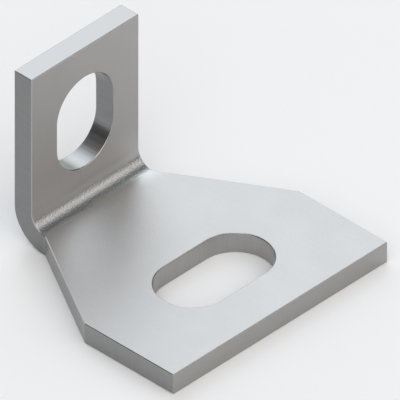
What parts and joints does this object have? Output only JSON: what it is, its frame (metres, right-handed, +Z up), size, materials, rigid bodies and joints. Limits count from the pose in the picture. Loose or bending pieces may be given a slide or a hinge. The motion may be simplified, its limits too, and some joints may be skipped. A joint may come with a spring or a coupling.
{
  "type": "angle bracket",
  "caption": "Folded steel angle bracket with a narrow slotted upright leg and a slotted base leg that widens along straight tapers.",
  "frame": {"origin": "centre of the base slot, on the underside of the base", "axes": "+X from the upright towards the base's front edge, +Y along the bend, +Z up the upright"},
  "size_m": [0.048, 0.05, 0.034],
  "materials": {
    "steel": "satin"
  },
  "bodies": {
    "root": {"angle_bracket": "steel"}
  },
  "joints": []
}
